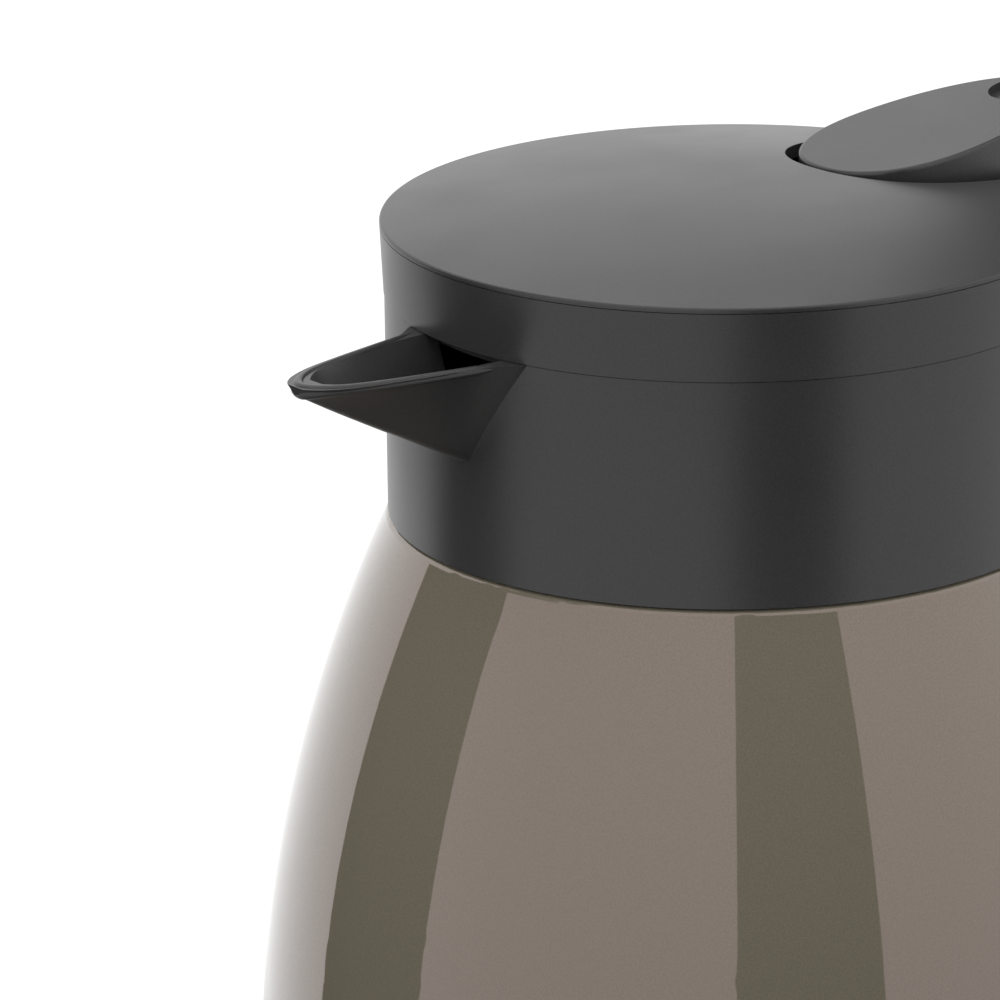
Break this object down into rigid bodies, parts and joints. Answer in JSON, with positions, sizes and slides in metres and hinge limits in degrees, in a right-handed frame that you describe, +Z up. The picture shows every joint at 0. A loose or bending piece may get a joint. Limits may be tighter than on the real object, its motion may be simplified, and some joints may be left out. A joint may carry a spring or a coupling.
{
  "type": "thermal carafe",
  "caption": "Double walled thermal carafe with a beak spout, a screw lid whose thumb lever lifts a sprung pouring valve, and an open ended side handle.",
  "frame": {"origin": "centre of the foot ring, on the plane that the carafe stands on", "axes": "+Z up along the carafe axis, -X towards the spout, +X towards the handle"},
  "size_m": [0.1788, 0.1286, 0.2163],
  "materials": {
    "lacquer": "glossy taupe lacquer on steel",
    "bare_steel": "satin bare stainless steel",
    "solder": "dull sealing bead",
    "getter_alloy": "pressed grey pellet",
    "soft_grey": "soft matt foot ring",
    "dark_plastic": "fine satin moulded plastic",
    "soft_black": "soft matt grip strip",
    "silicone": "translucent white silicone",
    "screw_steel": "bright stainless screw",
    "stopper_plastic": "satin grey food grade plastic",
    "spring_steel": "drawn spring wire"
  },
  "bodies": {
    "carafe": {"outer_shell": "lacquer", "inner_flask": "bare_steel", "base_pan": "bare_steel", "vacuum_bead": "solder", "getter": "getter_alloy", "foot_ring": "soft_grey", "collar": "dark_plastic", "collar_gasket": "silicone", "handle": "dark_plastic", "handle_inlay": "soft_black", "handle_screws": "screw_steel"},
    "seal": {"neck_seal": "silicone"},
    "lid": {"lid_body": "dark_plastic", "lid_cover": "dark_plastic", "lever_pin": "screw_steel", "stopper": "stopper_plastic", "stopper_screws": "screw_steel", "stem_o_ring": "silicone", "spring_seat": "stopper_plastic", "valve_spring": "spring_steel"},
    "lever": {"lever": "dark_plastic", "lever_fork": "stopper_plastic"},
    "valve": {"valve_stem": "stopper_plastic", "valve_disc": "stopper_plastic", "valve_washer": "silicone", "lift_nut": "stopper_plastic"}
  },
  "joints": [
    {"name": "lid_lift", "type": "slide", "parent": "carafe", "child": "seal", "axis": [0, 0, 1], "range_m": [0, 0.0485]},
    {"name": "lid_turn", "type": "hinge", "parent": "seal", "child": "lid", "pos_m": [0, 0, 0.1981], "axis": [0, 0, 1], "range_deg": [0, 1440]},
    {"name": "lever_press", "type": "hinge", "parent": "lid", "child": "lever", "pos_m": [0.029, 0, 0.2037], "axis": [0, 1, 0], "range_deg": [0, 7]},
    {"name": "valve_lift", "type": "slide", "parent": "lid", "child": "valve", "axis": [0, 0, 1], "range_m": [0, 0.00385], "stiffness_N_per_m": 250, "springref_m": -0.0025, "deforming": ["valve_spring"]}
  ],
  "couplings": [
    {"joint": "lid_lift", "follows": "lid_turn", "m_per_rad": 0.0019099},
    {"joint": "lever_press", "follows": "valve_lift", "rad_per_m": 31.746}
  ]
}
